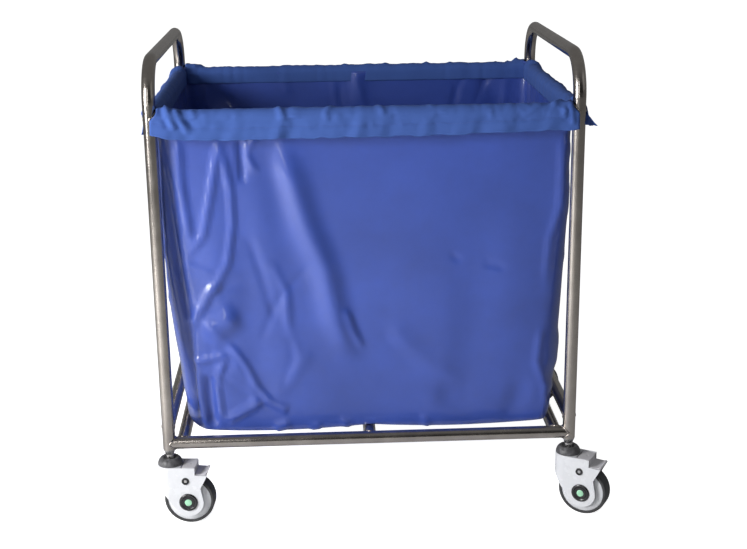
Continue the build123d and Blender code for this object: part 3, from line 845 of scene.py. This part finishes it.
def hang_cloth(piece, shape, pinned, slack):
    """Let the bag settle under its own weight with spare cloth in its walls, and keep the result."""
    settings = shape.settings
    for name, weights in (("held", pinned), ("spare", slack)):
        group = piece.vertex_groups.new(name=name)
        for index, weight in enumerate(weights):
            if weight > 0:
                group.add([index], float(weight), "REPLACE")
    modifier = piece.modifiers.new("hang", "CLOTH")
    cloth = modifier.settings
    cloth.quality = 6
    cloth.mass = 0.15
    cloth.tension_stiffness = 40.0
    cloth.compression_stiffness = 25.0
    cloth.shear_stiffness = 12.0
    cloth.bending_stiffness = 3.0
    cloth.air_damping = 6.0
    cloth.vertex_group_mass = "held"
    cloth.pin_stiffness = 1.0
    cloth.vertex_group_shrink = "spare"
    cloth.shrink_min = 0.0
    cloth.shrink_max = -settings.slack
    modifier.collision_settings.use_collision = False
    modifier.collision_settings.use_self_collision = False
    modifier.point_cache.frame_start = 1
    modifier.point_cache.frame_end = settings.settle_frames
    scene = bpy.context.scene
    for number in range(1, settings.settle_frames + 1):
        scene.frame_set(number)
    bake_modifiers(piece)
    scene.frame_set(1)
    piece.vertex_groups.clear()


def wall_height(points, normal, shape, folds, axis, side):
    """The height of a wall's folds over each point, faded where the wall turns away."""
    facing = ease(normal[:, 1 - axis] * side, 0.25, 0.7)
    beside = facing * (points[:, 1 - axis] * side > 0.15)
    flat = points[:, (axis, 2)] - (0.0, shape.rim_z)
    total = np.zeros(len(points))
    chosen = beside > 0
    if not chosen.any():
        return total
    lifted = np.zeros(chosen.sum())
    for path, width, height in folds:
        lifted += fold(flat[chosen], path, width, height, crisp=width < BROAD_FOLD)
    total[chosen] = lifted * beside[chosen] * shape.settings.fold_depth
    return total


class TROLLEY_OT_bag_body(bpy.types.Operator):
    """Sew the hanging bag, let it settle and press its folds into it"""

    bl_idname = "trolley.bag_body"
    bl_label = "Bag walls and bottom"

    def execute(self, context):
        shape = BagShape(context.scene.trolley_bag)
        settings = shape.settings
        vertices, faces, uvs, columns = drape_grid(shape)
        draw = random.Random(SEED)
        body = make_object("linen_bag_body", vertices, faces)
        layer = body.data.uv_layers.new(name="cloth")
        total = max(uv[0] for uv in uvs[:columns])
        for polygon in body.data.polygons:
            corners = [uvs[vertex] for vertex in polygon.vertices]
            wraps = max(c[0] for c in corners) - min(c[0] for c in corners) > total / 2
            for loop, corner in zip(polygon.loop_indices, corners):
                shift = total if wraps and corner[0] < total / 2 else 0.0
                layer.data[loop].uv = (corner[0] + shift, corner[1])

        # Broad folds first, so that the settling cloth follows them.
        points = positions(body)
        normal = normals(body)
        broad = [given for given in FRONT_FOLDS if given[1] >= BROAD_FOLD]
        lift = wall_height(points, normal, shape, broad, 0, -1)
        others = ((0, 1, shape.top_x, 16), (1, 1, shape.top_y, 12), (1, -1, shape.top_y, 12))
        for axis, side, half_width, count in others:
            folds = random_folds(draw, half_width, -0.63, -0.08, count, (0.02, 0.045), (0.003, 0.007))
            lift += wall_height(points, normal, shape, folds, axis, side)
        points += normal * lift[:, None]

        is_bottom = normal[:, 2] < -0.7
        from_middle = np.abs(points[:, 0])
        rests = is_bottom & ((from_middle < BAR_HALF_WIDTH) | (from_middle > shape.bottom_x - 0.004))
        span = np.abs(np.sin(np.pi * points[:, 0] / shape.bottom_x))
        depth = 1 - 0.35 * (points[:, 1] / shape.bottom_y) ** 2
        points[:, 2] -= is_bottom * ~rests * settings.sag * span * depth
        set_positions(body, points)

        pinned = np.zeros(len(points))
        pinned[:2 * columns] = 1.0
        pinned[rests] = 1.0
        hem = np.abs(points[:, 2] - shape.bottom_z) < 0.004
        pinned = np.maximum(pinned, np.where(hem & ~rests, 0.25, 0.0))
        below = points[:, 2] - shape.rim_z
        height_share = ease(below, -0.63, -0.53) * (1 - ease(below, -0.06, 0.0))
        left_share = 0.55 - 0.4 * ease(points[:, 0], -0.15, 0.05)
        hang_cloth(body, shape, pinned, height_share * left_share)

        body.modifiers.new("smooth", "SUBSURF").levels = 1
        bake_modifiers(body)
        points = positions(body)
        normal = normals(body)
        fine = [given for given in FRONT_FOLDS if given[1] < BROAD_FOLD]
        creases = random_folds(draw, 0.36, -0.63, -0.34, 44, (0.008, 0.014), (0.001, 0.0024))
        fine += [crease for crease in creases if crease[0][0][0] < -0.12]
        lift = wall_height(points, normal, shape, fine, 0, -1)
        for axis, side, *_ in others:
            small = random_folds(draw, 0.36, -0.63, -0.03, 36, (0.009, 0.016), (0.0008, 0.002))
            lift += wall_height(points, normal, shape, small, axis, side)
        points += normal * lift[:, None]
        set_positions(body, points)

        thicken(body, settings.cloth_thickness)
        body.data.materials.append(cloth_material(settings))
        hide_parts("bag_body")
        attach(body, "frame")
        return {"FINISHED"}


def value_noise(draw, length, pitch):
    """A smooth random curve over a length, as a function that gives -1 to 1."""
    count = max(int(length / pitch) + 3, 4)
    knots = [draw.uniform(-1, 1) for _ in range(count)]

    def curve(place):
        spot = np.clip(place / pitch, 0, count - 2.001)
        whole = np.floor(spot).astype(int)
        rest = spot - whole
        rest = rest * rest * (3 - 2 * rest)
        values = np.array(knots)
        return values[whole] * (1 - rest) + values[whole + 1] * rest

    return curve


def cuff_section(run, radius, tail, flare, drop):
    """Outward and upward place of the cuff at a distance along its cross-section."""
    over = math.pi * radius
    turn = np.clip((run - tail) / radius, 0, math.pi)
    outward = -radius * np.cos(turn)
    upward = radius * np.sin(turn)
    upward = upward - np.clip(tail - run, 0, None)
    hanging = np.clip(run - tail - over, 0, None)
    return outward + flare * (hanging / drop) ** 1.6, upward - hanging


def make_cuff(name, shape, draw, origin, outward, along, half_run, laps, rises, drops, flares, folds):
    """One cuff: cloth turned over a rim bar, hanging outside it, with a stitched hem."""
    settings = shape.settings
    radius = shape.tube_radius + CUFF_CLEARANCE
    tail = settings.cuff_tail
    over = math.pi * radius
    steps = round(2 * half_run / CUFF_STEP)
    place = np.linspace(-1, 1, steps + 1)[:, None] * np.ones((1, CUFF_LINES + 1))
    drop = by_pairs(place, drops)
    drop = drop + 0.0016 * value_noise(draw, 2, 0.05)(place + 1)
    drop = drop + 0.0008 * value_noise(draw, 2, 0.018)(place + 1)
    flare = by_pairs(place, flares)
    full = tail + over + drop
    run = np.linspace(0, 1, CUFF_LINES + 1)[None, :] * full
    hanging = np.clip((run - tail - over) / drop, 0, 1)

    # Above the slit the cloth stops short of the legs, and below the bar it laps past them.
    lap = np.where(place < 0, laps[0], laps[1])
    reach = half_run + lap * ease(run, tail + 0.75 * over, tail + over + 0.004)
    station = place * reach
    out, up = cuff_section(run, radius, tail, flare, drop)

    # Ripples of three sizes, then the gathers at the ends, the stitches' groove and the rolled hem.
    length = 2 * half_run + 0.04
    from_start = station + length / 2
    broad = value_noise(draw, length, 0.055)(from_start)
    small = value_noise(draw, length, 0.021)(from_start + 0.012 * hanging)
    tight = value_noise(draw, length, 0.009)(from_start - 0.006 * hanging)
    across = run - tail - over / 2
    on_top = bell(across, 0.016)
    lift = (0.0008 + 0.003 * hanging) * broad + (0.0014 + 0.0016 * hanging) * small
    lift = lift + 0.0005 * tight * on_top
    lift = np.where(hanging > 0, lift, np.abs(lift))
    from_end = (1 - np.abs(place)) * half_run
    rise = np.where(place < 0, rises[0], rises[1])
    lift = lift + rise * on_top * bell(from_end, 0.024)
    stitch_run = full - HEM_WIDTH
    lift = lift - 0.001 * bell(run - stitch_run, 0.0035)
    lift = lift + 0.0008 * tight * bell(run - stitch_run, 0.0091)
    lift = lift + 0.0009 * bell(full - run, 0.0028)
    flat = np.stack([station.ravel(), across.ravel()], -1)
    for path, width, height in folds:
        lift = lift + 1.5 * fold(flat, path, width, height, crisp=True).reshape(lift.shape)
    for _ in range(round(half_run * CREASES_PER_METRE)):
        start = (draw.uniform(-half_run, half_run), draw.uniform(-0.012, 0.02))
        end = (start[0] + draw.uniform(-0.022, 0.022), start[1] + draw.uniform(0.014, 0.028))
        near = np.abs(flat[:, 0] - start[0]) < 0.04
        width, height = draw.uniform(0.0045, 0.009), draw.uniform(-0.0014, 0.002)
        lift.reshape(-1)[near] += fold(flat[near], (start, end), width, height, crisp=True)
    lift = np.where(hanging > 0, lift, np.maximum(lift, 0.0))

    slope_out = np.gradient(out, axis=1)
    slope_up = np.gradient(up, axis=1)
    size = np.hypot(slope_out, slope_up) + 1e-12
    out = out + lift * (-slope_up / size)
    up = up + lift * (slope_out / size)

    points = (
        np.array(origin)[None, None, :]
        + station[..., None] * np.array(along, float)
        + out[..., None] * np.array(outward, float)
        + up[..., None] * np.array((0.0, 0.0, 1.0))
    )
    row = CUFF_LINES + 1
    faces = []
    for step in range(steps):
        for line in range(CUFF_LINES):
            first = step * row + line
            faces.append((first, first + 1, first + row + 1, first + row))
    if np.cross(outward, along)[2] > 0:
        faces = [face[::-1] for face in faces]
    cuff = make_object(name, points.reshape(-1, 3), faces)
    layer = cuff.data.uv_layers.new(name="cloth")
    for polygon in cuff.data.polygons:
        for loop, vertex in zip(polygon.loop_indices, polygon.vertices):
            layer.data[loop].uv = (float(station.ravel()[vertex]), float(run.ravel()[vertex]))

    stitch_line = np.abs(run - stitch_run).argmin(axis=1)
    seam = points[np.arange(steps + 1), stitch_line]
    return cuff, seam


def stitches_along(seam, outward, pitch):
    """Points and faces of a row of short raised stitches along a seam line."""
    lengths = np.concatenate([[0], np.cumsum(np.linalg.norm(np.diff(seam, axis=0), axis=1))])
    count = int(lengths[-1] / pitch)
    sides, rings = 6, (-0.5, -0.36, 0.0, 0.36, 0.5)
    girths = (0.15, 0.8, 1.0, 0.8, 0.15)
    points, faces = [], []
    for number in range(1, count):
        runs = [number * pitch + share * STITCH_SHARE * pitch for share in rings]
        spots = [Vector([np.interp(run, lengths, seam[:, axis]) for axis in range(3)]) for run in runs]
        forward = (spots[-1] - spots[0]).normalized()
        out = Vector(outward)
        side = forward.cross(out).normalized()
        start = len(points)
        for spot, girth in zip(spots, girths):
            for corner in range(sides):
                turn = 2 * math.pi * corner / sides
                round_it = out * math.cos(turn) + side * math.sin(turn)
                points.append(spot + round_it * STITCH_RADIUS * girth + out * STITCH_RISE)
        for ring in range(len(rings) - 1):
            for corner in range(sides):
                after = (corner + 1) % sides
                low = start + ring * sides
                faces.append((low + corner, low + after, low + sides + after, low + sides + corner))
        faces.append(tuple(start + corner for corner in reversed(range(sides))))
        faces.append(tuple(start + (len(rings) - 1) * sides + corner for corner in range(sides)))
    return points, faces


class TROLLEY_OT_bag_cuffs(bpy.types.Operator):
    """Turn the four cuffs over the rim bars and stitch their hems"""

    bl_idname = "trolley.bag_cuffs"
    bl_label = "Bag cuffs"

    def execute(self, context):
        shape = BagShape(context.scene.trolley_bag)
        settings = shape.settings
        draw = random.Random(SEED + 1)
        gap = shape.tube_radius + CUFF_END_GAP
        long_run = shape.leg_x - gap
        deep_run = shape.leg_y - gap
        lap = LEG_LAP
        drop = shape.cuff_drop
        z = shape.rim_z
        # Folds as (place along the bar, place across it from the top of the bar), width, height.
        front_folds = (
            (((-0.372, -0.004), (-0.362, 0.02), (-0.35, 0.044)), 0.01, 0.005),
            (((-0.379, 0.000), (-0.371, 0.022), (-0.362, 0.04)), 0.008, -0.003),
            (((-0.353, 0.002), (-0.34, 0.026), (-0.325, 0.052)), 0.01, 0.0045),
            (((-0.345, -0.002), (-0.333, 0.02), (-0.318, 0.04)), 0.008, -0.0025),
            (((-0.325, 0.004), (-0.312, 0.022)), 0.007, 0.002),
            (((-0.165, -0.004), (-0.15, 0.03)), 0.009, 0.003),
            (((-0.06, -0.01), (-0.075, 0.016), (-0.07, 0.034)), 0.008, 0.002),
            (((0.02, -0.01), (0.034, 0.024)), 0.008, 0.002),
            (((0.29, 0.03), (0.33, 0.004)), 0.008, 0.002),
            (((0.345, 0.01), (0.37, -0.008)), 0.008, 0.0035),
            (((0.366, 0.012), (0.372, 0.036)), 0.008, 0.003),
            (((0.379, 0.000), (0.386, 0.048)), 0.006, 0.003),
        )
        side_folds = (
            (((-0.262, -0.01), (-0.24, 0.03)), 0.01, 0.004),
            (((-0.24, -0.004), (-0.215, 0.034)), 0.01, -0.003),
            (((0.262, -0.01), (0.242, 0.03)), 0.01, 0.004),
            (((0.2, -0.006), (0.22, 0.03)), 0.009, 0.002),
            (((-0.06, -0.006), (-0.05, 0.03)), 0.009, 0.002),
        )
        # Each cuff: middle of its bar, outwards, along, half-length, how far its two ends lap past the
        # legs, how far they rise, drop and flare at places along it, and its folds.
        plans = (
            ("linen_bag_front_cuff", (0, -shape.leg_y, z), (0, -1, 0), (1, 0, 0), long_run,
             (lap, lap), (0.005, 0.002),
             ((-1, drop - 0.012), (-0.93, drop - 0.006), (-0.84, drop), (0.2, drop - 0.001), (1, drop - 0.007)),
             ((-1, 0.005), (0, 0.003), (1, 0.003)), front_folds),
            ("linen_bag_back_cuff", (0, shape.leg_y, z), (0, 1, 0), (-1, 0, 0), long_run,
             (lap, lap), (0.006, 0.009), ((-1, drop), (1, drop)), ((-1, 0.004), (1, 0.004)), front_folds),
            ("linen_bag_left_cuff", (-shape.leg_x, 0, z), (-1, 0, 0), (0, -1, 0), deep_run,
             (lap, -0.008), (0.006, 0.003), ((-1, drop), (1, drop - 0.006)),
             ((-1, 0.004), (0.8, 0.003), (1, 0.002)), side_folds),
            ("linen_bag_right_cuff", (shape.leg_x, 0, z), (1, 0, 0), (0, 1, 0), deep_run,
             (lap, lap), (0.003, 0.005), ((-1, drop - 0.008), (-0.8, drop - 0.002), (1, drop)),
             ((-1, 0.018), (-0.85, 0.008), (1, 0.003)), side_folds),
        )
        cloth = bpy.data.materials["bag_cloth"]
        points, faces = [], []
        for name, origin, outward, along, *details in plans:
            cuff, seam = make_cuff(name, shape, draw, origin, outward, along, *details)
            thicken(cuff, settings.cloth_thickness)
            cuff.data.materials.append(cloth)
            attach(cuff, "frame")
            append_mesh(points, faces, *stitches_along(seam, outward, settings.stitch_pitch))
        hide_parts("bag_cuffs")
        stitching = make_object("linen_bag_stitching", points, faces)
        stitching.data.materials.append(thread_material(settings))
        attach(stitching, "frame")
        return {"FINISHED"}


# ---------------------------------------------------------------- casters


class TROLLEY_OT_casters(bpy.types.Operator):
    """Finish the moulded and metal parts of the four casters"""

    bl_idname = "trolley.casters"
    bl_label = "Casters"

    def execute(self, context):
        settings = context.scene.trolley_casters
        white = plastic_material("white_plastic", settings.fork_colour, 0.26, 500.0, coat=0.3)
        pedal = plastic_material("pedal_plastic", settings.pedal_colour, 0.42, 900.0, texture=0.00006)
        cap = plastic_material("cap_plastic", settings.cap_colour, 0.22, 500.0, coat=0.4)
        plug = plastic_material("plug_plastic", settings.plug_colour, 0.3, 500.0, coat=0.3)
        collar = collar_material(settings)
        tyre = tyre_material(settings)
        bearing = bare_steel_material("bearing_steel", (0.62, 0.61, 0.6), 0.28)
        dress("leg_inserts", bearing)
        dress("stem_collars", collar)
        dress("caster_stems", bearing)
        finishes = {
            "fork": white, "wheel_hub": white, "brake_pedal": pedal, "tyre": tyre, "side_caps": cap,
            "axle_plugs": plug, "pedal_pivots": bearing, "axle": bearing, "swivel_bearing": bearing,
            "wheel_bearings": bearing,
        }
        for corner in CORNERS:
            for part, material in finishes.items():
                dress(f"{part}_{corner}", material)
        return {"FINISHED"}


# ---------------------------------------------------------------- sidebar and registration


class TROLLEY_PT_sidebar(bpy.types.Panel):
    """Lists the trolley's pieces and settings"""

    bl_idname = "TROLLEY_PT_sidebar"
    bl_label = "Linen Trolley"
    bl_space_type = "VIEW_3D"
    bl_region_type = "UI"
    bl_category = "Linen Trolley"

    def draw(self, context):
        for group, operators in (
            ("trolley_stage", ("trolley.stage",)),
            ("trolley_frame", ("trolley.tubes",)),
            ("trolley_bag", ("trolley.bag_body", "trolley.bag_cuffs")),
            ("trolley_casters", ("trolley.casters",)),
        ):
            box = self.layout.box()
            settings = getattr(context.scene, group)
            for name in settings.bl_rna.properties.keys():
                if name not in ("rna_type", "name"):
                    box.prop(settings, name)
            for operator in operators:
                box.operator(operator)


SETTINGS = {
    "trolley_stage": TrolleyStageSettings,
    "trolley_frame": TrolleyFrameSettings,
    "trolley_bag": TrolleyBagSettings,
    "trolley_casters": TrolleyCasterSettings,
}
CLASSES = (
    *SETTINGS.values(),
    TROLLEY_OT_stage,
    TROLLEY_OT_tubes,
    TROLLEY_OT_bag_body,
    TROLLEY_OT_bag_cuffs,
    TROLLEY_OT_casters,
    TROLLEY_PT_sidebar,
)


def register():
    for cls in CLASSES:
        bpy.utils.register_class(cls)
    for name, group in SETTINGS.items():
        setattr(bpy.types.Scene, name, PointerProperty(type=group))


def unregister():
    for name in SETTINGS:
        delattr(bpy.types.Scene, name)
    for cls in reversed(CLASSES):
        bpy.utils.unregister_class(cls)


def main():
    """Make the whole trolley."""
    register()
    bpy.ops.trolley.stage()
    bpy.ops.trolley.tubes()
    bpy.ops.trolley.bag_body()
    bpy.ops.trolley.bag_cuffs()
    bpy.ops.trolley.casters()


if __name__ == "__main__":
    main()
